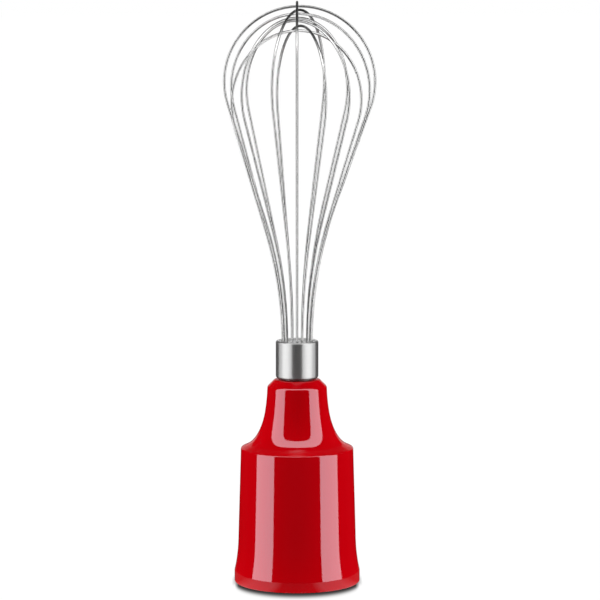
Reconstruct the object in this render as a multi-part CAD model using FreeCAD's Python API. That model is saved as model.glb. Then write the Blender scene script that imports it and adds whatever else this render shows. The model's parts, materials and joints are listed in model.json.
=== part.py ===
import FreeCAD, Part

import math
import os

# Whisk attachment for a hand-held motor body: a flared gear-reducer housing that stands on its open
# end, a two-stage planetary reducer inside it, and a pull-off balloon whisk of eight wire loops.
# Millimetres, +Z up.  The origin is the centre of the foot, on the surface that it stands on.

V = FreeCAD.Vector
Z = V(0, 0, 1)

# ------------------------------------------------------------------ driving dimensions
# outer housing
FOOT_R = 29.2            # vertical land of the foot
FOOT_LAND_TOP = 5.4
FOOT_EDGE = 0.7          # rounding of the foot's lower edge
WAIST_R, WAIST_Z = 27.38, 20.0
SHOULDER_R, SHOULDER_Z = 26.12, 62.5
FLARE = [(28.52, 8.6), (27.95, 12.4), (27.6, 15.6)]
NECK = [(23.7, 64.08), (22.1, 65.05), (20.65, 66.35), (19.2, 68.15), (17.68, 70.8), (16.28, 74.28),
        (15.2, 78.31), (14.5, 82.7), (14.05, 86.9)]
NECK_TOP = (13.80, 91.0)
CROWN = (10.75, 94.83)   # top end of the neck's chamfer
CROWN_Z = 95.15
CROWN_HOLE_R = 6.3
SOCKET_WALL_R = 25.0     # cylindrical inside wall that holds the collar and the cover
MOUTH_R = 26.9
# screws and their bosses
SCREW_PITCH_R = 23.0
SCREW_ANGLES = [30.0, 150.0, 270.0]
SCREW_R, SCREW_HOLE_R, SCREW_HEAD_R = 1.25, 1.4, 2.0
BOSS_R, BOSS_PITCH_R = 2.2, 23.05
# bayonet collar
COLLAR_R = 24.9
COLLAR_Z0, COLLAR_Z1 = 3.0, 23.9
SOCKET_R = 23.4          # pilot bore for the motor body's spigot
SOCKET_LEN = 7.0
SOCKET_RELIEF_R = 23.7
# gear case
CASE_R, CASE_BORE_R = 20.5, 19.0
CASE_Z0, CASE_Z1 = 27.0, 60.0
TUBE_R, TUBE_BORE_R, TUBE_Z1 = 9.2, 7.5, 92.3
COVER_R, COVER_Z0 = 24.7, 24.0
# planetary gearing, the same teeth in both stages: 1 + 45 / 15 = 4 to 1 each
MODULE = 0.75
SUN_T, PLANET_T, RING_T = 15, 15, 45
ADDENDUM, DEDENDUM = 0.6, 0.75
THINNING = 0.12          # tooth thickness taken off for backlash
CENTRE_R = MODULE * (SUN_T + PLANET_T) / 2.0
PIN_R, PLANET_BORE_R = 2.0, 2.05
STAGE_1_ANGLES = [90.0, 210.0, 330.0]
STAGE_2_ANGLES = [30.0, 150.0, 270.0]
SUN_1_PHASE = 90.0
# shafts
INPUT_R, SPINDLE_R = 2.5, 5.5
RUN = 0.03               # radial running clearance in the bushings
HEX_SOCKET_AF, SHANK_AF = 6.2, 6.0
DRIVE_SOCKET_AF = 8.0
# ferrule and hub
FERRULE_R, FERRULE_BORE_R = 9.87, 8.8
FERRULE_Z0, FERRULE_Z1 = 95.5, 113.2
HUB_R, HUB_Z0, HUB_Z1 = 8.75, 97.25, 111.9
# wires
WIRE_R = 0.6
WIRE_CIRCLE_R = 6.65     # the circle on which the wires leave the hub
WIRE_Z0 = 99.1           # blind ends inside the hub
WIRE_BEND_Z = 112.0      # where the wires start to spread
# per loop: azimuth of the front leg from -Y towards +X (degrees), apex height of the wire's centre
# line, radius of the crown arc, crown offset along the loop towards the front leg, crown lean
# across the loop, radii of the spreading arcs of the front leg and the back leg
LOOPS = [
    (89.8, 267.5, 34.6, 1.2, 0.7, 195.0, 177.0),
    (67.7, 264.1, 34.3, 1.6, -0.5, 176.0, 158.0),
    (45.1, 260.9, 33.3, 0.6, -0.6, 175.0, 163.0),
    (20.0, 258.6, 32.7, 1.9, 1.6, 154.0, 130.0),
    (0.0, 269.4, 34.8, 0.0, 0.0, 182.0, 182.0),
    (-20.5, 265.8, 34.3, -1.0, 0.5, 182.0, 168.0),
    (-45.4, 262.2, 34.0, 1.4, 0.4, 162.0, 202.0),
    (-66.3, 256.4, 32.5, 0.2, 0.6, 184.0, 184.0),
]

os.makedirs("parts", exist_ok=True)
MADE = []


def save(name, shape):
    """Writes one node as one solid, or as a compound of separate solids."""
    solids = shape.Solids
    if len(solids) == 1:
        shape = solids[0]
    else:
        shape = Part.makeCompound(solids)
    if not shape.isValid():
        raise SystemExit("invalid shape: " + name)
    shape.exportStep("parts/" + name + ".step")
    MADE.append((name, len(solids), shape.Volume))


def cyl(r, z0, z1, x=0.0, y=0.0):
    return Part.makeCylinder(r, z1 - z0, V(x, y, z0), Z)


def tube(r_out, r_in, z0, z1):
    return cyl(r_out, z0, z1).cut(cyl(r_in, z0 - 1, z1 + 1))


def lathe_wire(edges):
    face = Part.Face(Part.Wire(Part.__sortEdges__(edges)))
    solid = face.revolve(V(0, 0, 0), Z, 360)
    if solid.Volume < 0:
        solid.reverse()
    return solid


def lathe(points):
    """Solid of revolution from a closed polygon of (radius, height) points."""
    p = [V(r, 0, z) for r, z in points]
    edges = [Part.makeLine(p[i], p[(i + 1) % len(p)]) for i in range(len(p))]
    return lathe_wire(edges)


def polar(r, deg):
    a = math.radians(deg)
    return r * math.cos(a), r * math.sin(a)


def prism(points, z0, z1):
    p = [V(x, y, z0) for x, y in points]
    face = Part.Face(Part.makePolygon(p + [p[0]]))
    return face.extrude(V(0, 0, z1 - z0))


def hexagon(af, z0, z1, turn=0.0):
    r = af / math.sqrt(3.0)
    return prism([polar(r, turn + 60 * k) for k in range(6)], z0, z1)


def box(x0, x1, y0, y1, z0, z1):
    return Part.makeBox(x1 - x0, y1 - y0, z1 - z0, V(x0, y0, z0))


def turned(shape, deg):
    s = shape.copy()
    s.rotate(V(0, 0, 0), Z, deg)
    return s


def moved(shape, x, y, z=0.0):
    s = shape.copy()
    s.translate(V(x, y, z))
    return s


def fuse(shapes):
    out = shapes[0]
    for s in shapes[1:]:
        out = out.fuse(s)
    return out.removeSplitter()


def edges_at(shape, z, r, tol=0.02):
    """Circular edges of a shape of revolution at one height and radius."""
    found = []
    for e in shape.Edges:
        if isinstance(e.Curve, Part.Circle) and abs(e.Curve.Radius - r) < tol:
            if abs(e.Curve.Center.z - z) < tol:
                found.append(e)
    return found


# ------------------------------------------------------------------ gear teeth
def inv(a):
    return math.tan(a) - a


def tooth_outline(teeth, pitch_r, r_tip, r_root, thickness, phase_deg, steps=5):
    """Outline of an involute wheel with a tooth centred at phase_deg, as a list of (x, y)."""
    alpha0 = math.radians(20.0)
    r_base = pitch_r * math.cos(alpha0)
    r_low = max(r_base, r_root)
    half_pitch = thickness / (2.0 * pitch_r)

    def half(r):
        a = math.acos(min(1.0, r_base / r))
        return half_pitch + inv(alpha0) - inv(a)

    radii = [r_low + (r_tip - r_low) * i / steps for i in range(steps + 1)]
    out = []
    for k in range(teeth):
        c = math.radians(phase_deg) + 2 * math.pi * k / teeth
        flank = []
        if r_root < r_low - 1e-6:
            flank.append((r_root, half(r_low)))
        flank += [(r, half(r)) for r in radii]
        out += [(r * math.cos(c - h), r * math.sin(c - h)) for r, h in flank]
        out += [(r * math.cos(c + h), r * math.sin(c + h)) for r, h in reversed(flank)]
    return out


def wheel(teeth, z0, z1, phase_deg, bore_r):
    pitch_r = MODULE * teeth / 2.0
    pts = tooth_outline(teeth, pitch_r, pitch_r + ADDENDUM, pitch_r - DEDENDUM,
                        math.pi * MODULE / 2.0 - THINNING, phase_deg)
    return prism(pts, z0, z1).cut(cyl(bore_r, z0 - 1, z1 + 1))


RING_PITCH_R = MODULE * RING_T / 2.0
# phases that put every wheel in mesh at rest
PLANET_1_PHASE = [t + 180.0 - (SUN_T * (SUN_1_PHASE - t) + 180.0) / PLANET_T for t in STAGE_1_ANGLES]
RING_PHASE = STAGE_1_ANGLES[0] + (PLANET_T * (PLANET_1_PHASE[0] - STAGE_1_ANGLES[0]) - 180.0) / RING_T
PLANET_2_PHASE = [t + (RING_T * (RING_PHASE - t) + 180.0) / PLANET_T for t in STAGE_2_ANGLES]
SUN_2_PHASE = STAGE_2_ANGLES[0] + (PLANET_T * (STAGE_2_ANGLES[0] + 180.0 - PLANET_2_PHASE[0]) - 180.0) / SUN_T


# ------------------------------------------------------------------ outer housing
def outer_housing():
    def p(t):
        return V(t[0], 0, t[1])

    foot_in = (MOUTH_R, 0.0)
    a = (FOOT_R - FOOT_EDGE, 0.0)
    b = (FOOT_R, FOOT_EDGE)
    k = FOOT_EDGE * (1 - math.sqrt(0.5))
    edges = [Part.makeLine(p(foot_in), p(a)),
             Part.Arc(p(a), p((FOOT_R - k, k)), p(b)).toShape(),
             Part.makeLine(p(b), p((FOOT_R, FOOT_LAND_TOP)))]
    flare = Part.BSplineCurve()
    flare.interpolate(Points=[p((FOOT_R, FOOT_LAND_TOP))] + [p(q) for q in FLARE] + [p((WAIST_R, WAIST_Z))],
                      InitialTangent=V(-0.205, 0, 1).normalize() * 1.0,
                      FinalTangent=V(-(WAIST_R - SHOULDER_R), 0, SHOULDER_Z - WAIST_Z).normalize() * 1.0)
    edges.append(flare.toShape())
    edges.append(Part.makeLine(p((WAIST_R, WAIST_Z)), p((SHOULDER_R, SHOULDER_Z))))
    # rounded shoulder, then the concave sweep of the neck
    shoulder_end = (25.70, 63.14)
    edges.append(Part.Arc(p((SHOULDER_R, SHOULDER_Z)), p((25.99, 62.88)), p(shoulder_end)).toShape())
    neck = Part.BSplineCurve()
    neck.interpolate(Points=[p(shoulder_end), p((25.10, 63.42))] + [p(q) for q in NECK] + [p(NECK_TOP)])
    edges.append(neck.toShape())
    # chamfered crown with softened edges
    c0 = (13.655, 91.73)
    c1 = (13.24, 92.35)
    edges.append(Part.Arc(p(NECK_TOP), p(c0), p(c1)).toShape())
    edges.append(Part.makeLine(p(c1), p(CROWN)))
    crown_in = (9.98, CROWN_Z)
    edges.append(Part.Arc(p(CROWN), p((10.40, 95.067)), p(crown_in)).toShape())
    inner = [crown_in, (CROWN_HOLE_R, CROWN_Z), (CROWN_HOLE_R, 92.6), (11.5, 92.6), (11.7, 88.0),
             (12.2, 84.0), (12.9, 80.0), (13.6, 76.5), (14.6, 73.0), (16.0, 69.6), (17.8, 66.6),
             (20.3, 63.9), (22.6, 62.0), (23.9, 60.6), (24.3, 58.5), (SOCKET_WALL_R, 30.0),
             (SOCKET_WALL_R, 8.0), (26.4, 3.0), (26.4, 1.0), foot_in]
    for i in range(len(inner) - 1):
        edges.append(Part.makeLine(p(inner[i]), p(inner[i + 1])))
    shell = lathe_wire(edges)
    for ang in SCREW_ANGLES:
        x, y = polar(BOSS_PITCH_R, ang)
        boss = cyl(BOSS_R, 27.2, 61.2, x, y)
        shell = shell.fuse(boss)
    for ang in SCREW_ANGLES:
        x, y = polar(SCREW_PITCH_R, ang)
        shell = shell.cut(cyl(SCREW_R + 0.01, 27.0, 42.0, x, y))
    return shell.removeSplitter()


save("outer_housing", outer_housing())


# ------------------------------------------------------------------ bayonet collar in the mouth
def socket_collar():
    c = lathe([(SOCKET_R + 0.5, COLLAR_Z0), (COLLAR_R, COLLAR_Z0), (COLLAR_R, COLLAR_Z1), (19.5, COLLAR_Z1),
               (19.5, 22.0), (SOCKET_RELIEF_R, 22.0), (SOCKET_RELIEF_R, COLLAR_Z0 + 0.5 + SOCKET_LEN),
               (SOCKET_R, COLLAR_Z0 + 0.5 + SOCKET_LEN), (SOCKET_R, COLLAR_Z0 + 0.5)])
    # vertical entry slots and sideways locking grooves of the bayonet
    for ang in (90.0, 210.0, 330.0):
        slot = box(22.0, 24.35, -2.5, 2.5, COLLAR_Z0 - 1, 15.0)
        c = c.cut(turned(slot, ang))
        groove = Part.makeCylinder(24.35, 3.5, V(0, 0, 11.5), Z, 28.0).cut(cyl(22.0, 11.0, 15.5))
        c = c.cut(turned(groove, ang + 4.0))
    # screw holes in the top flange, and the driver channels below them
    for ang in SCREW_ANGLES:
        x, y = polar(SCREW_PITCH_R, ang)
        c = c.cut(cyl(SCREW_HOLE_R, 21.0, 25.0, x, y))
        c = c.cut(cyl(SCREW_HEAD_R + 0.25, COLLAR_Z0 - 1, 22.0, x, y))
    return c


save("socket_collar", socket_collar())


# ------------------------------------------------------------------ gear case, cover, gasket, screws
def gear_case():
    body = lathe([(CASE_BORE_R, CASE_Z0), (CASE_R, CASE_Z0), (CASE_R, CASE_Z1 - 1.2), (CASE_R - 1.2, CASE_Z1),
                  (TUBE_R, CASE_Z1), (TUBE_R, TUBE_Z1 - 0.5), (TUBE_R - 0.5, TUBE_Z1), (TUBE_BORE_R, TUBE_Z1),
                  (TUBE_BORE_R, 57.0), (17.0, 57.0), (17.0, 51.0), (CASE_BORE_R, 51.0)])
    ribs = []
    for k in range(6):
        a = V(TUBE_R - 0.4, -0.8, CASE_Z1 - 0.4)
        tri = Part.Face(Part.makePolygon([a, V(18.2, -0.8, CASE_Z1 - 0.4), V(18.2, -0.8, CASE_Z1 + 0.6),
                                          V(TUBE_R + 0.9, -0.8, 70.5), V(TUBE_R - 0.4, -0.8, 70.5), a]))
        ribs.append(turned(tri.extrude(V(0, 1.6, 0)), 60.0 * k))
    body = fuse([body] + ribs)
    body = body.cut(cyl(TUBE_BORE_R, 57.0, TUBE_Z1 + 1))
    for ang in (0.0, 120.0, 240.0):
        x, y = polar(CASE_BORE_R, ang)
        body = body.cut(cyl(0.85, 28.9, 51.0, x, y))
    return body


save("gear_case", gear_case())


def gear_case_cover():
    c = lathe([(4.6, 24.0), (6.05, 24.0), (6.05, 21.6), (8.2, 21.6), (8.2, COVER_Z0), (COVER_R, COVER_Z0),
               (COVER_R, 27.0), (20.4, 27.0), (20.4, 26.0), (19.2, 26.0), (19.2, 27.0), (6.5, 27.0),
               (6.5, 29.3), (4.6, 29.3)])
    for ang in SCREW_ANGLES:
        x, y = polar(SCREW_PITCH_R, ang)
        c = c.cut(cyl(SCREW_HOLE_R, 23.0, 28.0, x, y))
    return c


save("gear_case_cover", gear_case_cover())
save("case_gasket", tube(20.38, 19.22, 26.02, 26.98))


def assembly_screws():
    out = []
    for ang in SCREW_ANGLES:
        x, y = polar(SCREW_PITCH_R, ang)
        head = cyl(SCREW_HEAD_R, 20.3, 21.98)
        head = head.makeFillet(0.6, edges_at(head, 20.3, SCREW_HEAD_R))
        shank = cyl(SCREW_R, 21.9, 38.6)
        tip = Part.makeCone(SCREW_R, 0.35, 1.4, V(0, 0, 38.6), Z)
        s = head.fuse(shank).fuse(tip)
        s = s.cut(box(-1.1, 1.1, -0.25, 0.25, 20.0, 21.2)).cut(box(-0.25, 0.25, -1.1, 1.1, 20.0, 21.2))
        out.append(moved(s.removeSplitter(), x, y))
    return Part.makeCompound(out)


save("assembly_screws", assembly_screws())


def ring_gear():
    outline = tooth_outline(RING_T, RING_PITCH_R, RING_PITCH_R + DEDENDUM, RING_PITCH_R - ADDENDUM,
                            math.pi * MODULE / 2.0 + THINNING, RING_PHASE + 180.0 / RING_T, 4)
    blank = cyl(CASE_BORE_R - 0.03, 29.0, 50.9)
    for ang in (0.0, 120.0, 240.0):
        x, y = polar(CASE_BORE_R, ang)
        blank = blank.fuse(cyl(0.8, 29.0, 50.9, x, y))
    return blank.removeSplitter().cut(prism(outline, 28.0, 52.0))


save("ring_gear", ring_gear())
save("input_bushing", tube(4.58, INPUT_R + RUN, 24.2, 29.3))
save("input_seal", lathe([(INPUT_R + 0.05, 22.6), (INPUT_R + 0.7, 21.8), (6.02, 21.8), (6.02, 23.9),
                          (INPUT_R + 0.9, 23.9), (INPUT_R + 0.05, 23.0)]))
save("lower_bushing", lathe([(SPINDLE_R + RUN, 55.6), (10.0, 55.6), (10.0, 56.97), (TUBE_BORE_R - 0.02, 56.97),
                             (TUBE_BORE_R - 0.02, 65.0), (SPINDLE_R + RUN, 65.0)]))
save("upper_bushing", tube(TUBE_BORE_R - 0.02, SPINDLE_R + RUN, 80.0, 88.0))
save("output_seal", lathe([(SPINDLE_R + 0.05, 89.4), (SPINDLE_R + 0.7, 88.6), (TUBE_BORE_R - 0.02, 88.6),
                           (TUBE_BORE_R - 0.02, 92.0), (SPINDLE_R + 0.7, 92.0), (SPINDLE_R + 0.05, 91.2)]))
save("output_thrust_washer", tube(9.5, 5.7, 54.55, 55.5))


# ------------------------------------------------------------------ input side
def input_coupling():
    c = lathe([(0.0, 11.2), (6.1, 11.2), (6.5, 11.6), (6.5, 20.6), (6.1, 21.0), (0.0, 21.0)])
    c = c.cut(hexagon(DRIVE_SOCKET_AF, 10.7, 15.5))
    lead = Part.makeCone(DRIVE_SOCKET_AF / math.sqrt(3.0) + 0.6, DRIVE_SOCKET_AF / 2.0, 1.25, V(0, 0, 11.0), Z)
    c = c.cut(lead)
    c = c.cut(cyl(INPUT_R + 0.01, 16.0, 22.0))
    c = c.cut(Part.makeCylinder(0.81, 20, V(0, -10, 18.6), V(0, 1, 0)))
    # drive flats on the outside
    for k in range(3):
        c = c.cut(turned(box(6.1, 8, -3, 3, 10.7, 15.0), 60 + 120 * k))
    return c


save("input_coupling", input_coupling())


def input_shaft():
    s = lathe([(0, 16.05), (2.2, 16.05), (INPUT_R, 16.35), (INPUT_R, 37.7), (2.2, 38.0), (0, 38.0)])
    return s.cut(Part.makeCylinder(0.81, 20, V(0, -10, 18.6), V(0, 1, 0)))


save("input_shaft", input_shaft())
save("coupling_pin", Part.makeCylinder(0.8, 12.6, V(0, -6.3, 18.6), V(0, 1, 0)))
save("sun_gear_1", wheel(SUN_T, 30.0, 38.0, SUN_1_PHASE, INPUT_R + 0.01))


# ------------------------------------------------------------------ planets, pins and carriers
def planet(z0, z1, angle, phase):
    x, y = polar(CENTRE_R, angle)
    g = wheel(PLANET_T, z0 + 0.3, z1 - 0.3, phase, PLANET_BORE_R)
    boss = cyl(3.4, z0, z1).cut(cyl(PLANET_BORE_R, z0 - 1, z1 + 1))
    return moved(fuse([g, boss]), x, y)


def pins(z_head, z1, angles):
    out = []
    for a in angles:
        x, y = polar(CENTRE_R, a)
        head = cyl(2.8, z_head, z_head + 0.6, x, y)
        out.append(head.fuse(cyl(PIN_R, z_head + 0.3, z1, x, y)).removeSplitter())
    return Part.makeCompound(out)


for name, ang, ph in zip("abc", STAGE_1_ANGLES, PLANET_1_PHASE):
    save("planet_gear_1" + name, planet(30.5, 37.6, ang, ph))
save("planet_pins_1", pins(29.6, 41.0, STAGE_1_ANGLES))


def carrier_plate(z0, z1, angles, hub_hole):
    c = lathe([(0, z0), (14.5, z0), (14.8, z0 + 0.3), (14.8, z1 - 0.3), (14.5, z1), (0, z1)])
    for a in angles:
        x, y = polar(CENTRE_R, a)
        c = c.cut(cyl(PIN_R + 0.01, z0 - 1, z1 + 1, x, y))
        x, y = polar(10.8, a + 60.0)
        c = c.cut(cyl(2.3, z0 - 1, z1 + 1, x, y))
    if hub_hole:
        c = c.cut(cyl(hub_hole, z0 - 1, z1 + 1))
    return c


stub = cyl(3.0, 41.1, 49.6)
save("carrier_1", fuse([carrier_plate(38.25, 41.2, STAGE_1_ANGLES, 0), stub]))
save("sun_gear_2", wheel(SUN_T, 41.25, 49.9, SUN_2_PHASE, 3.01))
for name, ang, ph in zip("abc", STAGE_2_ANGLES, PLANET_2_PHASE):
    save("planet_gear_2" + name, planet(42.5, 49.6, ang, ph))
save("planet_pins_2", pins(41.7, 54.1, STAGE_2_ANGLES))
save("carrier_2", carrier_plate(50.3, 54.3, STAGE_2_ANGLES, 5.01))


# ------------------------------------------------------------------ output spindle
def output_spindle():
    s = lathe([(0, 50.35), (4.7, 50.35), (5.0, 50.65), (5.0, 54.35), (SPINDLE_R, 54.35), (SPINDLE_R, 65.38),
               (4.88, 65.38), (4.88, 66.42), (SPINDLE_R, 66.42), (SPINDLE_R, 94.1), (5.1, 94.5), (0, 94.5)])
    s = s.cut(hexagon(HEX_SOCKET_AF, 67.6, 95.0))
    r = HEX_SOCKET_AF / math.sqrt(3.0)
    s = s.cut(Part.makeCone(HEX_SOCKET_AF / 2.0 - 0.05, r + 0.35, r + 0.4 - HEX_SOCKET_AF / 2.0, V(0, 0, 93.8), Z))
    s = s.cut(cyl(4.45, 73.0, 74.25))
    return s


save("output_spindle", output_spindle())


def split_ring(r_out, r_in, z0, z1, gap_deg, at_deg):
    ring = tube(r_out, r_in, z0, z1)
    wedge = Part.makeCylinder(r_out + 2, z1 - z0 + 2, V(0, 0, z0 - 1), Z, gap_deg)
    return ring.cut(turned(wedge, at_deg - gap_deg / 2.0))


save("spindle_circlip", split_ring(7.2, 4.9, 65.42, 66.38, 50.0, 90.0))
save("detent_ring", split_ring(4.4, 3.62, 73.1, 74.15, 30.0, 0.0))


# ------------------------------------------------------------------ whisk: shank, hub, pin, ferrule
FRONT = {i: LOOPS[i][0] for i in range(len(LOOPS))}
PIN_AZIMUTH = (LOOPS[2][0] + LOOPS[3][0]) / 2.0   # midway between two loops


def along(azimuth_deg):
    a = math.radians(azimuth_deg)
    return V(math.sin(a), -math.cos(a), 0)


def cross_pin(r, half_length, z):
    d = along(PIN_AZIMUTH)
    return Part.makeCylinder(r, 2 * half_length, d * (-half_length) + V(0, 0, z), d)


def whisk_shank():
    r = SHANK_AF / math.sqrt(3.0)
    s = hexagon(SHANK_AF, 68.4, 95.4)
    # rounded corners at the lower end and a snap groove
    cone = lathe([(0, 68.4), (2.5, 68.4), (r + 0.1, 69.6), (r + 0.1, 95.4), (0, 95.4)])
    s = s.common(cone)
    s = s.cut(tube(6.0, 2.8, 73.05, 74.2))
    top = lathe([(0, 95.3), (3.0, 95.3), (3.0, 109.3), (2.6, 109.7), (0, 109.7)])
    s = s.fuse(top).removeSplitter()
    return s.cut(cross_pin(0.61, 12.0, 104.0))


save("whisk_shank", whisk_shank())
save("hub_pin", cross_pin(0.6, 8.4, 104.0))


# ------------------------------------------------------------------ wire loops
def solve_alpha(ra, r_top, offset, rise):
    """Angle from the vertical of the straight run between the spreading arc and the crown arc."""
    def f(a):
        return (WIRE_CIRCLE_R + ra - offset) * math.cos(a) + rise * math.sin(a) - (ra + r_top)
    lo, hi = 0.0, math.radians(60.0)
    a = lo
    step = math.radians(0.25)
    while a < hi and f(a) * f(a + step) > 0:
        a += step
    lo, hi = a, a + step
    for _ in range(80):
        mid = (lo + hi) / 2
        if f(lo) * f(mid) <= 0:
            hi = mid
        else:
            lo = mid
    return (lo + hi) / 2


def place_loop(shape, loop):
    az, apex, lean = loop[0], loop[1], loop[4]
    s = shape.copy()
    tilt = math.degrees(math.atan2(lean, apex - WIRE_BEND_Z))
    s.rotate(V(0, 0, WIRE_BEND_Z), V(1, 0, 0), -tilt)
    s.rotate(V(0, 0, 0), Z, az - 90.0)
    return s


def leg_points(side, loop):
    apex, r_top, offset = loop[1:4]
    ra = loop[5] if side > 0 else loop[6]
    cz = apex - r_top
    a = solve_alpha(ra, r_top, side * offset, cz - WIRE_BEND_Z)
    n = (math.cos(a), -math.sin(a))
    c1 = (WIRE_CIRCLE_R + ra, WIRE_BEND_Z)
    c2 = (side * offset, cz)
    p0 = (WIRE_CIRCLE_R, WIRE_Z0)
    p1 = (WIRE_CIRCLE_R, WIRE_BEND_Z)
    mid = (c1[0] - ra * math.cos(a / 2), c1[1] + ra * math.sin(a / 2))
    p2 = (c1[0] - ra * n[0], c1[1] - ra * n[1])
    p3 = (c2[0] + r_top * n[0], c2[1] + r_top * n[1])
    return [V(side * q[0], 0, q[1]) for q in (p0, p1, mid, p2, p3)], a


def wire_path(loop):
    right, a_r = leg_points(1, loop)
    left, a_l = leg_points(-1, loop)
    crown = V(loop[3], 0, loop[1])
    edges = [Part.makeLine(right[0], right[1]), Part.Arc(right[1], right[2], right[3]).toShape(),
             Part.makeLine(right[3], right[4]), Part.Arc(right[4], crown, left[4]).toShape(),
             Part.makeLine(left[4], left[3]), Part.Arc(left[3], left[2], left[1]).toShape(),
             Part.makeLine(left[1], left[0])]
    return Part.Wire(edges), right[0], math.degrees(a_r), math.degrees(a_l)


def wire_solid(loop, r):
    path, start, a_r, a_l = wire_path(loop)
    ring = Part.Wire([Part.makeCircle(r, start, Z)])
    sweep = Part.BRepOffsetAPI.MakePipeShell(path)
    sweep.add(ring)
    sweep.build()
    sweep.makeSolid()
    solid = sweep.shape()
    if solid.Volume < 0:
        solid.reverse()
    want = math.pi * r * r * path.Length
    if abs(solid.Volume - want) > 0.01 * want:
        raise SystemExit("wire volume %.1f, expected %.1f" % (solid.Volume, want))
    return place_loop(solid, loop), path.Length, a_r, a_l


for i, loop in enumerate(LOOPS):
    solid, length, a_r, a_l = wire_solid(loop, WIRE_R)
    save("wire_loop_%d" % (i + 1), solid)
    print("wire_loop_%d  length %.1f mm  spread %.2f / %.2f deg" % (i + 1, length, a_r, a_l))


def wire_hub():
    h = lathe([(0, HUB_Z0), (HUB_R, HUB_Z0), (HUB_R, HUB_Z1 - 0.4), (HUB_R - 0.4, HUB_Z1), (0, HUB_Z1)])
    h = h.cut(cyl(3.02, HUB_Z0 - 1, 109.9))
    h = h.cut(cross_pin(0.61, 12.0, 104.0))
    for loop in LOOPS:
        for side in (1, -1):
            hole = cyl(WIRE_R + 0.02, WIRE_Z0 - 0.1, 114.0, side * WIRE_CIRCLE_R, 0)
            h = h.cut(place_loop(hole, loop))
    return h


save("wire_hub", wire_hub())


def ferrule():
    f = lathe([(3.1, FERRULE_Z0), (FERRULE_R, FERRULE_Z0), (FERRULE_R, FERRULE_Z1), (FERRULE_BORE_R, FERRULE_Z1),
               (FERRULE_BORE_R, 97.2), (3.1, 97.2)])
    f = f.makeFillet(1.5, edges_at(f, FERRULE_Z0, FERRULE_R))
    f = f.makeFillet(0.75, edges_at(f, FERRULE_Z1, FERRULE_R))
    f = f.makeFillet(0.25, edges_at(f, FERRULE_Z1, FERRULE_BORE_R))
    return f


save("ferrule", ferrule())

for name, n, vol in MADE:
    print("%-22s %d  %9.1f mm3" % (name, n, vol))
print(len(MADE), "nodes")
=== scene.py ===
import json
import math

import bmesh
import bpy
from mathutils import Matrix, Vector


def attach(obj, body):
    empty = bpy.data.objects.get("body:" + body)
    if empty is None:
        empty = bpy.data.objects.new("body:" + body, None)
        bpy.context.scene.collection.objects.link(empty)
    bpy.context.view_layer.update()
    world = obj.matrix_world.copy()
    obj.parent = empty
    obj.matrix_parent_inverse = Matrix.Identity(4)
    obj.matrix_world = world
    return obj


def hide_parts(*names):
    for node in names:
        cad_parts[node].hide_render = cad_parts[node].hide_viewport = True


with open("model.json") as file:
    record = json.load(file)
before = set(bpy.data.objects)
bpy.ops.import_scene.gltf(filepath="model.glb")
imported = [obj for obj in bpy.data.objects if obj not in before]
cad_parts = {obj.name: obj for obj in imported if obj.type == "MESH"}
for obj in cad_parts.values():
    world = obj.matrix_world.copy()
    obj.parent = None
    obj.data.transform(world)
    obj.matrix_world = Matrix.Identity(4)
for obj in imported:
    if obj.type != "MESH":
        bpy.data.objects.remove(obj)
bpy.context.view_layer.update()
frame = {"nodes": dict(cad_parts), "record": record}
NODES = frame["nodes"]
SCENE = bpy.context.scene
MM = 0.001


# ------------------------------------------------------------------ mesh helpers
def new_object(name, mesh):
    ob = bpy.data.objects.new(name, mesh)
    SCENE.collection.objects.link(ob)
    return ob


def mesh_from(name, verts, faces, smooth=True):
    me = bpy.data.meshes.new(name)
    me.from_pydata([tuple(v) for v in verts], [], faces)
    me.validate()
    bm = bmesh.new()
    bm.from_mesh(me)
    bmesh.ops.recalc_face_normals(bm, faces=bm.faces)
    bm.to_mesh(me)
    bm.free()
    for p in me.polygons:
        p.use_smooth = smooth
    return me


def sharpen(me, angle_deg):
    """Marks edges sharper than an angle, so that smooth shading stops there."""
    bm = bmesh.new()
    bm.from_mesh(me)
    lim = math.radians(angle_deg)
    for e in bm.edges:
        if len(e.link_faces) == 2 and e.calc_face_angle(0.0) > lim:
            e.smooth = False
    bm.to_mesh(me)
    bm.free()


def catmull(points, steps):
    """Points (r, z) on a smooth curve through the given ones."""
    out = []
    n = len(points)
    for i in range(n - 1):
        p0 = points[max(0, i - 1)]
        p1, p2 = points[i], points[i + 1]
        p3 = points[min(n - 1, i + 2)]
        # centripetal form, which never loops
        def d(a, b):
            return max(1e-6, math.hypot(b[0] - a[0], b[1] - a[1]) ** 0.5)
        t0 = 0.0
        t1 = t0 + (d(p0, p1) if i > 0 else d(p1, p2))
        t2 = t1 + d(p1, p2)
        t3 = t2 + (d(p2, p3) if i < n - 2 else d(p1, p2))
        if i == 0:
            p0 = (2 * p1[0] - p2[0], 2 * p1[1] - p2[1])
        if i == n - 2:
            p3 = (2 * p2[0] - p1[0], 2 * p2[1] - p1[1])
        for k in range(steps):
            t = t1 + (t2 - t1) * k / steps
            q = []
            for j in (0, 1):
                a1 = (t1 - t) / (t1 - t0) * p0[j] + (t - t0) / (t1 - t0) * p1[j]
                a2 = (t2 - t) / (t2 - t1) * p1[j] + (t - t1) / (t2 - t1) * p2[j]
                a3 = (t3 - t) / (t3 - t2) * p2[j] + (t - t2) / (t3 - t2) * p3[j]
                b1 = (t2 - t) / (t2 - t0) * a1 + (t - t0) / (t2 - t0) * a2
                b2 = (t3 - t) / (t3 - t1) * a2 + (t - t1) / (t3 - t1) * a3
                q.append((t2 - t) / (t2 - t1) * b1 + (t - t1) / (t2 - t1) * b2)
            out.append(tuple(q))
    out.append(points[-1])
    return out


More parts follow.
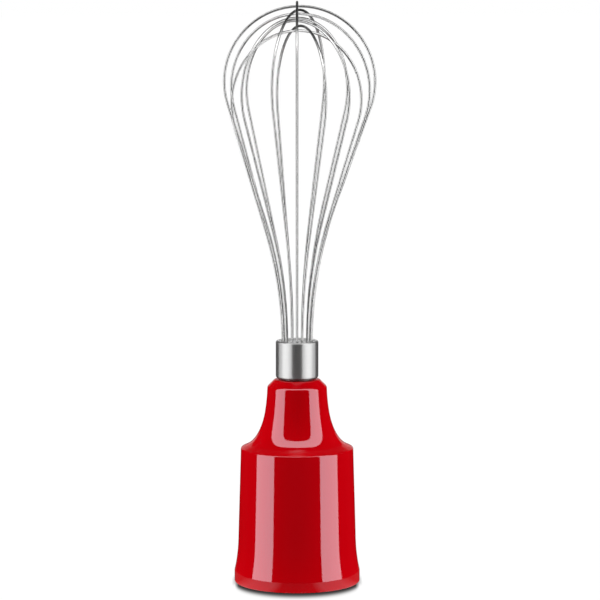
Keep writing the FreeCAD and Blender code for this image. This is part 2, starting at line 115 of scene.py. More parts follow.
def fillet(a, b, c, r, steps=6):
    """Points of the arc of radius r that rounds corner b between a and c."""
    v1 = Vector((a[0] - b[0], a[1] - b[1])).normalized()
    v2 = Vector((c[0] - b[0], c[1] - b[1])).normalized()
    ang = v1.angle(v2)
    t = r / math.tan(ang / 2)
    p1 = Vector(b) + v1 * t
    p2 = Vector(b) + v2 * t
    centre = Vector(b) + (v1 + v2).normalized() * (r / math.sin(ang / 2))
    a1 = math.atan2(p1.y - centre.y, p1.x - centre.x)
    a2 = math.atan2(p2.y - centre.y, p2.x - centre.x)
    while a2 - a1 > math.pi:
        a2 -= 2 * math.pi
    while a2 - a1 < -math.pi:
        a2 += 2 * math.pi
    return [(centre.x + r * math.cos(a1 + (a2 - a1) * k / steps),
             centre.y + r * math.sin(a1 + (a2 - a1) * k / steps)) for k in range(steps + 1)]


def lathe(name, profile, segments=256):
    """Closed solid of revolution about Z from a closed profile of (r, z) in millimetres."""
    n = len(profile)
    verts, faces = [], []
    for s in range(segments):
        a = 2 * math.pi * s / segments
        ca, sa = math.cos(a), math.sin(a)
        verts += [(r * ca * MM, r * sa * MM, z * MM) for r, z in profile]
    for s in range(segments):
        t = (s + 1) % segments
        for i in range(n):
            j = (i + 1) % n
            faces.append((s * n + i, t * n + i, t * n + j, s * n + j))
    return mesh_from(name, verts, faces)


def bore_cylinder(verts, faces, x, y, r, z0, z1, bore_r, bore_z0, bore_z1, seg=40):
    """Adds a closed boss with a blind hole from below to vertex and face lists (millimetres)."""
    prof = [(bore_r, z0), (r, z0), (r, z1), (0.0, z1), (0.0, bore_z1), (bore_r, bore_z1)]
    base = len(verts)
    idx = []
    for s in range(seg):
        a = 2 * math.pi * s / seg
        row = []
        for k, (pr, pz) in enumerate(prof):
            if pr == 0.0 and s > 0:
                row.append(idx[0][k])
                continue
            verts.append(((x + pr * math.cos(a)) * MM, (y + pr * math.sin(a)) * MM, pz * MM))
            row.append(len(verts) - 1)
        idx.append(row)
    n = len(prof)
    for s in range(seg):
        t = (s + 1) % seg
        for i in range(n):
            j = (i + 1) % n
            q = [idx[s][i], idx[t][i], idx[t][j], idx[s][j]]
            u = []
            for v in q:
                if v not in u:
                    u.append(v)
            if len(u) >= 3:
                faces.append(tuple(u))
    return base


# ------------------------------------------------------------------ material helpers
def new_material(name):
    m = bpy.data.materials.new(name)
    m.use_nodes = True
    nt = m.node_tree
    for n in list(nt.nodes):
        nt.nodes.remove(n)
    out = nt.nodes.new("ShaderNodeOutputMaterial")
    sh = nt.nodes.new("ShaderNodeBsdfPrincipled")
    nt.links.new(sh.outputs["BSDF"], out.inputs["Surface"])
    return m, nt, sh


def node(nt, kind, **values):
    n = nt.nodes.new(kind)
    for k, v in values.items():
        if hasattr(n, k) and not k[0].isupper():
            setattr(n, k, v)
        else:
            n.inputs[k].default_value = v
    return n


def object_coords(nt, scale=(1, 1, 1)):
    tc = nt.nodes.new("ShaderNodeTexCoord")
    mp = nt.nodes.new("ShaderNodeMapping")
    mp.inputs["Scale"].default_value = scale
    nt.links.new(tc.outputs["Object"], mp.inputs["Vector"])
    return mp.outputs["Vector"]


def noise(nt, vec, scale, detail=3.0, rough=0.5):
    n = nt.nodes.new("ShaderNodeTexNoise")
    n.inputs["Scale"].default_value = scale
    n.inputs["Detail"].default_value = detail
    n.inputs["Roughness"].default_value = rough
    nt.links.new(vec, n.inputs["Vector"])
    return n.outputs["Fac"]


def ramp(nt, fac, stops):
    r = nt.nodes.new("ShaderNodeValToRGB")
    el = r.color_ramp.elements
    while len(el) < len(stops):
        el.new(0.5)
    for e, (p, c) in zip(el, stops):
        e.position = p
        e.color = c if len(c) == 4 else (*c, 1.0)
    nt.links.new(fac, r.inputs["Fac"])
    return r.outputs["Color"]


def map_range(nt, val, a, b, c, d):
    n = nt.nodes.new("ShaderNodeMapRange")
    n.inputs["From Min"].default_value = a
    n.inputs["From Max"].default_value = b
    n.inputs["To Min"].default_value = c
    n.inputs["To Max"].default_value = d
    nt.links.new(val, n.inputs["Value"])
    return n.outputs["Result"]


def math_node(nt, op, a, b=None):
    n = nt.nodes.new("ShaderNodeMath")
    n.operation = op
    for i, v in enumerate((a, b)):
        if v is None:
            continue
        if isinstance(v, (int, float)):
            n.inputs[i].default_value = v
        else:
            nt.links.new(v, n.inputs[i])
    return n.outputs[0]


def mix_color(nt, fac, a, b):
    n = nt.nodes.new("ShaderNodeMix")
    n.data_type = "RGBA"
    for sock, v in ((n.inputs[0], fac), (n.inputs[6], a), (n.inputs[7], b)):
        if isinstance(v, (int, float)):
            sock.default_value = v
        elif isinstance(v, (tuple, list)):
            sock.default_value = v if len(v) == 4 else (*v, 1.0)
        else:
            nt.links.new(v, sock)
    return n.outputs[2]


def ramp_value(nt, val, stops):
    """Number that follows a table of (input, output), with inputs from 0 to 2."""
    half = math_node(nt, "MULTIPLY", val, 0.5)
    return ramp(nt, half, [(p * 0.5, (v, v, v)) for p, v in stops])


def bump(nt, height, strength, distance, sh, normal=None):
    b = nt.nodes.new("ShaderNodeBump")
    b.inputs["Strength"].default_value = strength
    b.inputs["Distance"].default_value = distance
    nt.links.new(height, b.inputs["Height"])
    if normal is not None:
        nt.links.new(normal, b.inputs["Normal"])
    if sh is not None:
        nt.links.new(b.outputs["Normal"], sh.inputs["Normal"])
    return b.outputs["Normal"]


def height_z(nt):
    tc = nt.nodes.new("ShaderNodeTexCoord")
    sep = nt.nodes.new("ShaderNodeSeparateXYZ")
    nt.links.new(tc.outputs["Object"], sep.inputs[0])
    return sep.outputs["Z"]


# ------------------------------------------------------------------ materials
def red_gloss():
    m, nt, sh = new_material("red_gloss_plastic")
    flow = noise(nt, object_coords(nt, (1, 1, 0.35)), 38.0, 3.0, 0.5)
    fine = noise(nt, object_coords(nt), 420.0, 2.0, 0.6)
    base = ramp(nt, flow, [(0.25, (0.475, 0.0, 0.0026)), (0.75, (0.525, 0.0, 0.0036))])
    # handling scuffs on the rim it stands on and on the crown's edge
    z = height_z(nt)
    rim = map_range(nt, z, 0.0, 0.0012, 1.0, 0.0)
    crown = math_node(nt, "SUBTRACT", 1.0, map_range(nt, math_node(nt, "ABSOLUTE", math_node(nt, "SUBTRACT", z, 0.0947)), 0.0, 0.0007, 0.0, 1.0))
    speck = map_range(nt, noise(nt, object_coords(nt), 900.0, 4.0, 0.65), 0.52, 0.66, 0.0, 1.0)
    wear = math_node(nt, "MULTIPLY", math_node(nt, "MAXIMUM", rim, math_node(nt, "MULTIPLY", crown, 0.4)), speck)
    col = mix_color(nt, math_node(nt, "MULTIPLY", wear, 0.45), base, (0.50, 0.06, 0.06))
    nt.links.new(col, sh.inputs["Base Color"])
    rough = map_range(nt, fine, 0.3, 0.7, 0.045, 0.075)
    rough = math_node(nt, "ADD", rough, math_node(nt, "MULTIPLY", wear, 0.3))
    # the ledge is wiped less often than the walls, so it is a little duller
    ledge = map_range(nt, math_node(nt, "ABSOLUTE", math_node(nt, "SUBTRACT", z, 0.0640)), 0.0005, 0.0014, 0.15, 0.0)
    rough = math_node(nt, "ADD", rough, ledge)
    nt.links.new(rough, sh.inputs["Roughness"])
    sh.inputs["IOR"].default_value = 1.80
    sh.inputs["Specular Tint"].default_value = (0.80, 0.84, 0.96, 1.0)
    # less gloss towards the silhouette, so that the edge stays red against the pale studio
    lw = nt.nodes.new("ShaderNodeLayerWeight")
    lw.inputs["Blend"].default_value = 0.5
    nt.links.new(map_range(nt, lw.outputs["Facing"], 0.52, 0.82, 0.5, 0.06), sh.inputs["Specular IOR Level"])
    wave = noise(nt, object_coords(nt, (1, 1, 0.6)), 55.0, 1.0, 0.4)
    h = math_node(nt, "ADD", math_node(nt, "MULTIPLY", wave, 1.0), math_node(nt, "MULTIPLY", wear, -0.6))
    bump(nt, h, 0.05, 0.0004, sh)
    return m


def moulded(name, dark, light, rough_lo, rough_hi, grain=1400.0, depth=0.00012, strength=0.35):
    """Fine-textured moulded plastic."""
    m, nt, sh = new_material(name)
    blotch = noise(nt, object_coords(nt), 60.0, 3.0, 0.5)
    g = noise(nt, object_coords(nt), grain, 4.0, 0.6)
    nt.links.new(ramp(nt, blotch, [(0.3, dark), (0.7, light)]), sh.inputs["Base Color"])
    nt.links.new(map_range(nt, g, 0.3, 0.7, rough_lo, rough_hi), sh.inputs["Roughness"])
    bump(nt, g, strength, depth, sh)
    sh.inputs["IOR"].default_value = 1.49
    return m


def turned_steel(name, dark, light, rough_lo, rough_hi, lines=2600.0, depth=0.00002, strength=0.5, aniso=0.0, metal=1.0):
    """Steel finished on a lathe: fine rings around the Z axis."""
    m, nt, sh = new_material(name)
    rings = noise(nt, object_coords(nt, (0.006, 0.006, 1.0)), lines, 3.0, 0.65)
    broad = noise(nt, object_coords(nt, (0.35, 0.35, 1.0)), 260.0, 3.0, 0.55)
    mixed = math_node(nt, "ADD", math_node(nt, "MULTIPLY", rings, 0.7), math_node(nt, "MULTIPLY", broad, 0.3))
    nt.links.new(ramp(nt, mixed, [(0.3, dark), (0.7, light)]), sh.inputs["Base Color"])
    nt.links.new(map_range(nt, mixed, 0.3, 0.7, rough_lo, rough_hi), sh.inputs["Roughness"])
    sh.inputs["Metallic"].default_value = metal
    sh.inputs["Anisotropic"].default_value = aniso
    bump(nt, rings, strength, depth, sh)
    return m


def brushed_ferrule():
    """Satin-brushed cup: fine rings that spread a highlight along the axis, an inside wall painted pale and less
    metallic as painted light, and a lower edge darkened with painted shade.
    """
    m, nt, sh = new_material("brushed_ferrule")
    rings = noise(nt, object_coords(nt, (0.02, 0.02, 1.0)), 3000.0, 3.0, 0.65)
    broad = noise(nt, object_coords(nt, (0.4, 0.4, 1.0)), 160.0, 3.0, 0.5)
    mixed = math_node(nt, "ADD", math_node(nt, "MULTIPLY", rings, 0.5), math_node(nt, "MULTIPLY", broad, 0.5))
    steel = ramp(nt, mixed, [(0.3, (0.315,) * 3), (0.7, (0.345,) * 3)])
    tc = nt.nodes.new("ShaderNodeTexCoord")
    sep = nt.nodes.new("ShaderNodeSeparateXYZ")
    nt.links.new(tc.outputs["Object"], sep.inputs[0])
    r2 = math_node(nt, "ADD", math_node(nt, "MULTIPLY", sep.outputs["X"], sep.outputs["X"]),
                   math_node(nt, "MULTIPLY", sep.outputs["Y"], sep.outputs["Y"]))
    # painted light: the inside wall is painted pale and made far less metallic, so that it reads brightly lit
    painted_light_inside = map_range(nt, math_node(nt, "SQRT", r2), 0.00896, 0.00920, 1.0, 0.0)
    # painted shade: the lower edge of the cup, where it sits down in the gap above the crown, is darkened nearly to
    # black
    painted_gap_shade = map_range(nt, sep.outputs["Z"], 0.0959, 0.0969, 1.0, 0.0)
    steel = mix_color(nt, painted_gap_shade, steel, (0.05, 0.05, 0.05))
    nt.links.new(mix_color(nt, painted_light_inside, steel, (0.80, 0.80, 0.80)), sh.inputs["Base Color"])
    nt.links.new(map_range(nt, mixed, 0.3, 0.7, 0.31, 0.37), sh.inputs["Roughness"])
    nt.links.new(map_range(nt, painted_light_inside, 0.0, 1.0, 0.79, 0.25), sh.inputs["Metallic"])
    sh.inputs["Anisotropic"].default_value = 0.82
    sh.inputs["Anisotropic Rotation"].default_value = 0.25
    bump(nt, rings, 0.05, 0.00001, sh)
    return m


def wire_steel(name="polished_wire", dark=0.46, light=0.54):
    m, nt, sh = new_material(name)
    # the drawing lines run along the wire, which the mesh's own coordinates follow
    uv = nt.nodes.new("ShaderNodeUVMap")
    uv.uv_map = "UVMap"
    mp = nt.nodes.new("ShaderNodeMapping")
    mp.inputs["Scale"].default_value = (3.0, 26.0, 1.0)
    nt.links.new(uv.outputs["UV"], mp.inputs["Vector"])
    lines = noise(nt, mp.outputs["Vector"], 1.0, 3.0, 0.6)
    patch = noise(nt, object_coords(nt), 120.0, 3.0, 0.5)
    mixed = math_node(nt, "ADD", math_node(nt, "MULTIPLY", lines, 0.6), math_node(nt, "MULTIPLY", patch, 0.4))
    nt.links.new(ramp(nt, mixed, [(0.3, (dark,) * 3), (0.7, (light,) * 3)]), sh.inputs["Base Color"])
    nt.links.new(map_range(nt, mixed, 0.3, 0.7, 0.20, 0.30), sh.inputs["Roughness"])
    sh.inputs["Metallic"].default_value = 0.95
    bump(nt, lines, 0.15, 0.00002, sh)
    return m


def bronze():
    m, nt, sh = new_material("sintered_bronze")
    pores = noise(nt, object_coords(nt), 2400.0, 4.0, 0.7)
    tint = noise(nt, object_coords(nt), 90.0, 2.0, 0.5)
    nt.links.new(ramp(nt, tint, [(0.3, (0.42, 0.26, 0.12)), (0.7, (0.56, 0.37, 0.18))]), sh.inputs["Base Color"])
    nt.links.new(map_range(nt, pores, 0.35, 0.65, 0.32, 0.55), sh.inputs["Roughness"])
    sh.inputs["Metallic"].default_value = 1.0
    bump(nt, pores, 0.4, 0.00006, sh)
    return m


MAT = {
    "housing_red": red_gloss(),
    "inner_plastic": moulded("charcoal_plastic", (0.030, 0.030, 0.033), (0.048, 0.048, 0.052), 0.42, 0.62),
    "cover_plastic": moulded("grey_plastic", (0.20, 0.205, 0.215), (0.27, 0.275, 0.285), 0.38, 0.55),
    "drive_plastic": moulded("glass_filled_plastic", (0.055, 0.055, 0.058), (0.095, 0.095, 0.10), 0.40, 0.60, 2200.0),
    "gear_plastic": moulded("natural_acetal", (0.72, 0.70, 0.63), (0.80, 0.78, 0.71), 0.28, 0.40, 900.0, 0.00004, 0.2),
    "seal_rubber": moulded("black_rubber", (0.014, 0.014, 0.015), (0.026, 0.026, 0.027), 0.55, 0.75, 1800.0),
    "bushing_bronze": bronze(),
    "shaft_steel": turned_steel("turned_steel", (0.48, 0.48, 0.49), (0.64, 0.64, 0.65), 0.28, 0.42, metal=0.72),
    "spring_steel": turned_steel("blued_steel", (0.10, 0.11, 0.14), (0.20, 0.21, 0.25), 0.28, 0.40),
    "screw_steel": turned_steel("zinc_steel", (0.50, 0.50, 0.47), (0.66, 0.66, 0.62), 0.26, 0.42),
    "hub_plastic": moulded("hub_grey", (0.72, 0.72, 0.72), (0.80, 0.80, 0.80), 0.35, 0.50, 1600.0, 0.00006),
    "ferrule_steel": brushed_ferrule(),
    "wire_steel": wire_steel(),
}
SLOT_OF = {s["node"]: s["material_slot"] for s in frame["record"]["subparts"]}
for name, ob in NODES.items():
    me = ob.data
    me.materials.clear()
    me.materials.append(MAT[SLOT_OF[name]])


def finish_piece(ob, body, slot_name, *replaced):
    ob.data.materials.append(MAT[slot_name])
    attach(ob, body)
    if replaced:
        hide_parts(*replaced)
    return ob


# ------------------------------------------------------------------ outer housing
def housing_profile():
    foot_r, edge = 29.2, 0.7
    out = [(26.9, 0.0)]
    out += fillet((26.9, 0.0), (foot_r, 0.0), (foot_r, 5.4), edge, 10)
    flare = catmull([(foot_r, 5.3), (28.52, 8.6), (27.95, 12.4), (27.6, 15.6), (27.35, 20.0)], 10)
    out += [(foot_r, 2.5), (foot_r, 4.2)]
    out += flare
    out += [(27.38 - (27.38 - 26.12) * k / 8.0, 20.0 + (62.1 - 20.0) * k / 8.0) for k in range(1, 8)]
    # shoulder edge, rounded between the wall and the sloping top
    out += fillet((26.27, 57.0), (26.11, 62.95), (23.7, 64.08), 0.72, 12)
    neck = catmull([(25.1, 63.42), (23.7, 64.08), (22.1, 65.05), (20.65, 66.35), (19.2, 68.15), (17.68, 70.8),
                    (16.28, 74.28), (15.2, 78.31), (14.5, 82.7), (14.05, 86.9), (13.80, 91.0)], 8)
    out += neck
    # crown: a chamfer with generously rounded edges
    out += [(11.89 + 1.91 * math.cos(math.radians(t)), 91.0 + 1.91 * math.sin(math.radians(t)))
            for t in (4.5, 9, 13.5, 18, 22.5, 27, 31.5, 36, 40.5, 45)]
    out += [(12.4, 93.19), (11.6, 93.98)]
    out += [(9.98 + 1.09 * math.cos(math.radians(t)), 94.06 + 1.09 * math.sin(math.radians(t)))
            for t in (45, 54, 63, 72, 81, 90)]
    out += fillet((9.0, 95.15), (6.3, 95.15), (6.3, 92.6), 0.25, 4)
    out += [(6.3, 92.6), (11.5, 92.6), (11.7, 88.0), (12.2, 84.0), (12.9, 80.0), (13.6, 76.5), (14.6, 73.0),
            (16.0, 69.6), (17.8, 66.6), (20.3, 63.9), (22.6, 62.0), (23.9, 60.6), (24.3, 58.5), (25.0, 30.0),
            (25.0, 8.0), (26.4, 3.0), (26.4, 0.6)]
    out += fillet((26.4, 3.0), (26.4, 0.0), (28.0, 0.0), 0.35, 4)
    return out[1:]


me = lathe("housing_shell", housing_profile(), 288)
v = [tuple(p.co) for p in me.vertices]
f = [tuple(p.vertices) for p in me.polygons]
for ang in (30.0, 150.0, 270.0):
    x, y = 23.05 * math.cos(math.radians(ang)), 23.05 * math.sin(math.radians(ang))
    bore_cylinder(v, f, x, y, 2.2, 27.2, 61.2, 1.26, 27.2, 42.0)
me = mesh_from("housing_shell", v, f)
sharpen(me, 30.0)
housing = new_object("housing_shell", me)
finish_piece(housing, "housing", "housing_red", "outer_housing")


# ------------------------------------------------------------------ ferrule
def ferrule_profile():
    out = [(3.1, 95.5)]
    out += fillet((3.1, 95.5), (9.87, 95.5), (9.87, 113.2), 1.5, 14)
    out += [(9.87, 98.0 + 1.5 * k) for k in range(1, 10)]
    out += fillet((9.87, 95.5), (9.87, 113.2), (8.8, 113.2), 0.78, 10)
    out += fillet((9.5, 113.2), (8.8, 113.2), (8.8, 97.2), 0.22, 5)
    out += [(8.8, 110.0), (8.8, 97.2), (3.1, 97.2)]
    return out


me = lathe("ferrule_cup", ferrule_profile(), 224)
sharpen(me, 30.0)
ferrule = new_object("ferrule_cup", me)
finish_piece(ferrule, "whisk", "ferrule_steel", "ferrule")

# ------------------------------------------------------------------ wires
WIRE_R = 0.6
WIRE_CIRCLE_R = 6.65
WIRE_Z0 = 99.1
WIRE_BEND_Z = 112.0
LOOPS = [
    (89.8, 267.5, 34.6, 1.2, 0.7, 195.0, 177.0),
    (67.7, 264.1, 34.3, 1.6, -0.5, 176.0, 158.0),
    (45.1, 260.9, 33.3, 0.6, -0.6, 175.0, 163.0),
    (20.0, 258.6, 32.7, 1.9, 1.6, 154.0, 130.0),
    (0.0, 269.4, 34.8, 0.0, 0.0, 182.0, 182.0),
    (-20.5, 265.8, 34.3, -1.0, 0.5, 182.0, 168.0),
    (-45.4, 262.2, 34.0, 1.4, 0.4, 162.0, 202.0),
    (-66.3, 256.4, 32.5, 0.2, 0.6, 184.0, 184.0),
]


def solve_alpha(ra, r_top, offset, rise):
    big_a, big_b, c = WIRE_CIRCLE_R + ra - offset, rise, ra + r_top
    return math.atan2(big_b, big_a) - math.acos(c / math.hypot(big_a, big_b))


def leg_line(side, loop):
    """Centre line of one leg from the hub to the crown's top, as (x, z, tangent x, tangent z)."""
    apex, r_top, offset = loop[1:4]
    ra = loop[5] if side > 0 else loop[6]
    cz = apex - r_top
    o = side * offset
    a = solve_alpha(ra, r_top, o, cz - WIRE_BEND_Z)
    pts = []
    for k in range(5):
        pts.append((WIRE_CIRCLE_R, WIRE_Z0 + (WIRE_BEND_Z - WIRE_Z0) * k / 5.0, 0.0, 1.0))
    n = 26
    for k in range(n):
        t = a * k / n
        pts.append((WIRE_CIRCLE_R + ra - ra * math.cos(t), WIRE_BEND_Z + ra * math.sin(t), math.sin(t), math.cos(t)))
    p2 = (WIRE_CIRCLE_R + ra - ra * math.cos(a), WIRE_BEND_Z + ra * math.sin(a))
    p3 = (o + r_top * math.cos(a), cz - r_top * math.sin(a))
    n = 12
    for k in range(n):
        u = k / n
        pts.append((p2[0] + (p3[0] - p2[0]) * u, p2[1] + (p3[1] - p2[1]) * u, math.sin(a), math.cos(a)))
    n = 56
    for k in range(n + 1):
        t = -a + (math.pi / 2 + a) * k / n
        pts.append((o + r_top * math.cos(t), cz + r_top * math.sin(t), -math.sin(t), math.cos(t)))
    return [(side * x, z, side * tx, tz) for x, z, tx, tz in pts]


def loop_line(loop):
    right = leg_line(1, loop)
    left = leg_line(-1, loop)
    back = [(x, z, -tx, -tz) for x, z, tx, tz in reversed(left[:-1])]
    return right + back


def wire_mesh(name, loop, sides=24):
    line = loop_line(loop)
    az, apex, lean = loop[0], loop[1], loop[4]
    place = (Matrix.Rotation(math.radians(az - 90.0), 4, "Z")
             @ Matrix.Translation((0, 0, WIRE_BEND_Z))
             @ Matrix.Rotation(-math.atan2(lean, apex - WIRE_BEND_Z), 4, "X")
             @ Matrix.Translation((0, 0, -WIRE_BEND_Z)))
    verts, faces, run = [], [], [0.0]
    for i in range(1, len(line)):
        run.append(run[-1] + math.hypot(line[i][0] - line[i - 1][0], line[i][1] - line[i - 1][1]))
    for x, z, tx, tz in line:
        n = (-tz, tx)
        for k in range(sides):
            a = 2 * math.pi * k / sides
            p = Vector((x + WIRE_R * math.cos(a) * n[0], WIRE_R * math.sin(a), z + WIRE_R * math.cos(a) * n[1]))
            verts.append(tuple((place @ p) * MM))
    rings = len(line)
    for i in range(rings - 1):
        for k in range(sides):
            j = (k + 1) % sides
            faces.append((i * sides + k, i * sides + j, (i + 1) * sides + j, (i + 1) * sides + k))
    faces.append(tuple(reversed(range(sides))))
    faces.append(tuple((rings - 1) * sides + k for k in range(sides)))
    me = mesh_from(name, verts, faces)
    uv = me.uv_layers.new(name="UVMap")
    for p in me.polygons:
        side_face = len(p.vertices) == 4
        ks = [me.loops[li].vertex_index % sides for li in p.loop_indices]
        wrap = side_face and 0 in ks and sides - 1 in ks
        for li, k in zip(p.loop_indices, ks):
            vi = me.loops[li].vertex_index
            kk = sides if (wrap and k == 0) else k
            uv.data[li].uv = (run[vi // sides] / run[-1] * 10.0, kk / sides)
    sharpen(me, 40.0)
    return me


WIRES = []
for i, loop in enumerate(LOOPS):
    name = "wire_%d" % (i + 1)
    w = new_object(name, wire_mesh(name, loop))
    WIRES.append(w)
    finish_piece(w, "whisk", "wire_steel", "wire_loop_%d" % (i + 1))
    if i == 4:
        # this loop is given a slightly darker copy of the wire steel
        w.data.materials[0] = wire_steel("polished_wire_dark", 0.39, 0.46)


# ------------------------------------------------------------------ stage: floor, reflection cards, lights
def emission_material(name, strength, color=(1, 1, 1)):
    m = bpy.data.materials.new(name)
    m.use_nodes = True
    nt = m.node_tree
    for n in list(nt.nodes):
        nt.nodes.remove(n)
    out = nt.nodes.new("ShaderNodeOutputMaterial")
    e = nt.nodes.new("ShaderNodeEmission")
    e.inputs["Strength"].default_value = strength
    e.inputs["Color"].default_value = (*color, 1)
    nt.links.new(e.outputs[0], out.inputs["Surface"])
    m.cycles.emission_sampling = "NONE"
    return m


def floor_material():
    """Pale floor that glows like a light table, with a soft contact shadow painted into its glow close to the base."""
    m, nt, sh = new_material("pale_floor")
    tc = nt.nodes.new("ShaderNodeTexCoord")
    sep = nt.nodes.new("ShaderNodeSeparateXYZ")
    nt.links.new(tc.outputs["Object"], sep.inputs[0])
    x = math_node(nt, "ABSOLUTE", sep.outputs["X"])
    y = math_node(nt, "ABSOLUTE", sep.outputs["Y"])
    # how far a point lies beyond the rim, measured to the front or the back
    half = math_node(nt, "SQRT", math_node(nt, "MAXIMUM", math_node(
        nt, "SUBTRACT", 0.0288 ** 2, math_node(nt, "MULTIPLY", x, x)), 0.0))
    beyond = math_node(nt, "MULTIPLY", math_node(nt, "SUBTRACT", y, half), 50.0)
    # painted contact shadow: the floor's glow is nearly black at the rim and fades out about 18 mm beyond it
    shade = ramp(nt, beyond, [(0.0, (0.014,) * 3), (0.10, (0.026,) * 3), (0.20, (0.080,) * 3), (0.30, (0.21,) * 3),
                              (0.40, (0.42,) * 3), (0.50, (0.65,) * 3), (0.60, (0.84,) * 3), (0.72, (0.95,) * 3),
                              (0.90, (1.0,) * 3)])
    side = map_range(nt, x, 0.0272, 0.0306, 0.0, 1.0)
    seen = mix_color(nt, side, shade, (1.0, 1.0, 1.0))
    # painted reflection: what polished surfaces see of it is painted bright at the sides and dim in front and behind
    turn = math_node(nt, "ARCTAN2", x, math_node(nt, "MULTIPLY", sep.outputs["Y"], -1.0))
    lit = ramp(nt, math_node(nt, "DIVIDE", turn, math.pi), [
        (19.0 / 180.0, (0.02,) * 3), (30.0 / 180.0, (0.48,) * 3), (60.0 / 180.0, (0.48,) * 3),
        (72.0 / 180.0, (0.26,) * 3), (84.0 / 180.0, (0.06,) * 3)])
    path = nt.nodes.new("ShaderNodeLightPath")
    # painted light: for diffuse rays the floor glows brighter close to the foot, lighting the lower body
    away = math_node(nt, "SQRT", math_node(nt, "ADD", math_node(nt, "MULTIPLY", x, x), math_node(nt, "MULTIPLY", y, y)))
    painted_bounce_glow = ramp(nt, map_range(nt, away, 0.030, 0.052, 0.0, 1.0), [(0.0, (1.05,) * 3), (0.35, (0.80,) * 3), (1.0, (0.62,) * 3)])
    level = mix_color(nt, path.outputs["Is Glossy Ray"], painted_bounce_glow, lit)
    level = mix_color(nt, path.outputs["Is Camera Ray"], level, seen)
    sh.inputs["Base Color"].default_value = (0.02, 0.02, 0.02, 1)
    sh.inputs["Roughness"].default_value = 0.9
    sh.inputs["Specular IOR Level"].default_value = 0.0
    nt.links.new(level, sh.inputs["Emission Color"])
    sh.inputs["Emission Strength"].default_value = 1.0
    m.cycles.emission_sampling = "NONE"
    return m


def disc(name, r_in, r_out, z, seg=128):
    verts, faces = [], []
    if r_in <= 0:
        verts = [(r_out * math.cos(2 * math.pi * k / seg), r_out * math.sin(2 * math.pi * k / seg), z) for k in range(seg)]
        faces = [tuple(range(seg))]
    else:
        for k in range(seg):
            a = 2 * math.pi * k / seg
            verts += [(r_in * math.cos(a), r_in * math.sin(a), z), (r_out * math.cos(a), r_out * math.sin(a), z)]
        for k in range(seg):
            j = (k + 1) % seg
            faces.append((2 * k, 2 * k + 1, 2 * j + 1, 2 * j))
    me = bpy.data.meshes.new(name)
    me.from_pydata(verts, [], faces)
    return new_object(name, me)


FLOOR_MAT = floor_material()
near = disc("floor_near", 0.0, 0.07, -0.00005)
near.data.materials.append(FLOOR_MAT)
far = disc("floor_far", 0.07, 6.0, -0.00005)
far.data.materials.append(FLOOR_MAT)
far.visible_glossy = False


def table(pairs, x):
    """Straight-line reading of a table of (x, value)."""
    if x <= pairs[0][0]:
        return pairs[0][1]
    for (x0, v0), (x1, v1) in zip(pairs, pairs[1:]):
        if x <= x1:
            return v0 + (v1 - v0) * (x - x0) / (x1 - x0)
    return pairs[-1][1]


def sky_patch(name, az0, az1, low, high, strength, radius=2.2, centre_z=0.075, color=(1, 1, 1)):
    """A reflection card: part of a sphere about the object, between two outlines.

    Azimuth runs from -Y towards +X; low and high give the elevation for an azimuth; all in degrees.
    """
    na, ne = 40, 16
    verts, faces = [], []
    for i in range(na + 1):
        azd = az0 + (az1 - az0) * i / na
        e0, e1 = low(abs(azd)), high(abs(azd))
        for j in range(ne + 1):
            a = math.radians(azd)
            e = math.radians(e0 + (e1 - e0) * j / ne)
            verts.append((radius * math.sin(a) * math.cos(e), -radius * math.cos(a) * math.cos(e),
                          centre_z + radius * math.sin(e)))
    for i in range(na):
        for j in range(ne):
            q = i * (ne + 1) + j
            faces.append((q, q + 1, q + ne + 2, q + ne + 1))
    me = bpy.data.meshes.new(name)
    me.from_pydata(verts, [], faces)
    ob = new_object(name, me)
    me.materials.append(emission_material(name, strength, color))
    ob.visible_camera = False
    ob.visible_diffuse = False
    ob.visible_shadow = False
    ob.visible_transmission = False
    return ob


CARD = 3.15
OPENING = [(0.0, 52.8), (12.0, 52.2), (20.0, 51.2), (30.0, 49.4), (39.0, 47.0), (44.0, 44.0), (45.7, 41.4),
           (46.8, 39.0), (47.2, 35.0)]
TENT_TOP = [(0.0, 76.8), (20.0, 76.1), (40.0, 74.4), (53.0, 72.4), (70.0, 67.6), (80.0, 62.8), (85.0, 57.0),
            (86.3, 50.0), (87.3, 40.0), (88.2, 34.4), (89.3, 30.0)]
sky_patch("card_right", 47.2, 89.3, lambda a: -40.0, lambda a: table(TENT_TOP, a), CARD)
sky_patch("card_left", -89.3, -47.2, lambda a: -40.0, lambda a: table(TENT_TOP, a), CARD)
sky_patch("card_top", -47.2, 47.2, lambda a: table(OPENING, a), lambda a: table(TENT_TOP, a), CARD)
# the same tent seen a little wider by the satin cup alone
only_cup = bpy.data.collections.new("only_cup")
only_cup.objects.link(ferrule)
for name, az0, az1 in (("cup_front_right", 29.0, 47.2), ("cup_front_left", -47.2, -29.0),
                       ("cup_side_right", 89.3, 116.0), ("cup_side_left", -116.0, -89.3)):
    card = sky_patch(name, az0, az1, lambda a: -26.0, lambda a: 40.0, 2.5 if "front" in name else 1.7)
    card.light_linking.receiver_collection = only_cup
card = sky_patch("cup_roof", -180.0, 180.0, lambda a: 60.0, lambda a: 89.0, 2.0, 2.6)
card.light_linking.receiver_collection = only_cup
# the bright table as the wires see it
only_wires = bpy.data.collections.new("only_wires")
for w in WIRES:
    only_wires.objects.link(w)
card = sky_patch("wires_below", -180.0, 180.0, lambda a: -89.0, lambda a: -44.0, 0.55)
card.light_linking.receiver_collection = only_wires
sky_patch("card_rear_low", 156.0, 204.0, lambda a: 1.0, lambda a: 9.0, 0.7)
sky_patch("card_rear_high", 156.0, 204.0, lambda a: 9.0, lambda a: 21.0, 0.3)


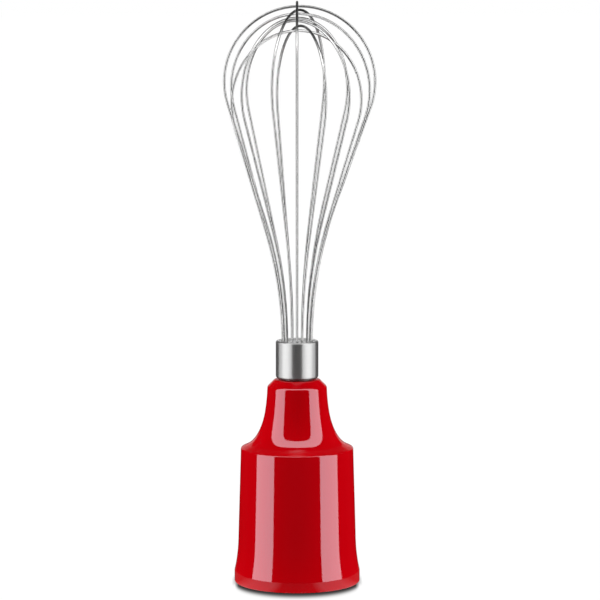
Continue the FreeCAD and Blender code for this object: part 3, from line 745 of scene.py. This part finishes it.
def area(name, loc, target, size, size_y, power, glossy=False):
    li = bpy.data.lights.new(name, "AREA")
    li.shape = "RECTANGLE"
    li.size, li.size_y = size, size_y
    li.energy = power
    ob = bpy.data.objects.new(name, li)
    SCENE.collection.objects.link(ob)
    ob.location = loc
    ob.rotation_mode = "QUATERNION"
    ob.rotation_quaternion = (Vector(target) - Vector(loc)).to_track_quat("-Z", "Y")
    ob.visible_glossy = glossy
    return ob


area("soft_right", (1.45, -0.25, 0.40), (0, 0, 0.08), 0.9, 1.3, 25.0)
area("soft_left", (-1.45, -0.25, 0.40), (0, 0, 0.08), 0.9, 1.3, 25.0)
area("soft_rear_right", (0.9, 1.2, 0.7), (0, 0, 0.1), 0.9, 0.9, 6.0)
area("soft_rear_left", (-0.9, 1.2, 0.7), (0, 0, 0.1), 0.9, 0.9, 6.0)
area("soft_top", (0.0, -0.1, 1.5), (0, 0, 0.0), 1.2, 1.2, 10.0)

world = bpy.data.worlds.new("studio")
SCENE.world = world
world.use_nodes = True
nt = world.node_tree
for n in list(nt.nodes):
    nt.nodes.remove(n)
out = nt.nodes.new("ShaderNodeOutputWorld")
lp = nt.nodes.new("ShaderNodeLightPath")
white = nt.nodes.new("ShaderNodeBackground")
white.inputs["Color"].default_value = (1, 1, 1, 1)
white.inputs["Strength"].default_value = 1.0
fill = nt.nodes.new("ShaderNodeBackground")
fill.inputs["Color"].default_value = (1, 1, 1, 1)
fill.inputs["Strength"].default_value = 0.24
dim = nt.nodes.new("ShaderNodeBackground")
dim.inputs["Color"].default_value = (1, 1, 1, 1)
dim.inputs["Strength"].default_value = 0.004
m1 = nt.nodes.new("ShaderNodeMixShader")
m2 = nt.nodes.new("ShaderNodeMixShader")
nt.links.new(lp.outputs["Is Glossy Ray"], m1.inputs["Fac"])
nt.links.new(fill.outputs[0], m1.inputs[1])
nt.links.new(dim.outputs[0], m1.inputs[2])
nt.links.new(lp.outputs["Is Camera Ray"], m2.inputs["Fac"])
nt.links.new(m1.outputs[0], m2.inputs[1])
nt.links.new(white.outputs[0], m2.inputs[2])
nt.links.new(m2.outputs[0], out.inputs["Surface"])

SCENE.view_settings.view_transform = "Standard"
SCENE.view_settings.look = "None"
SCENE.view_settings.exposure = 0.0
SCENE.view_settings.gamma = 1.0

# ------------------------------------------------------------------ camera
cam = bpy.data.cameras.new("camera")
cam.sensor_width = 36.0
cam.lens = 204.585
cam.clip_start, cam.clip_end = 0.05, 50.0
cam_ob = bpy.data.objects.new("camera", cam)
SCENE.collection.objects.link(cam_ob)
cam_ob.location = (0.00135, -1.564, 0.332)
cam_ob.rotation_euler = (math.radians(90.0 - 7.285), 0.0, 0.0)
SCENE.camera = cam_ob
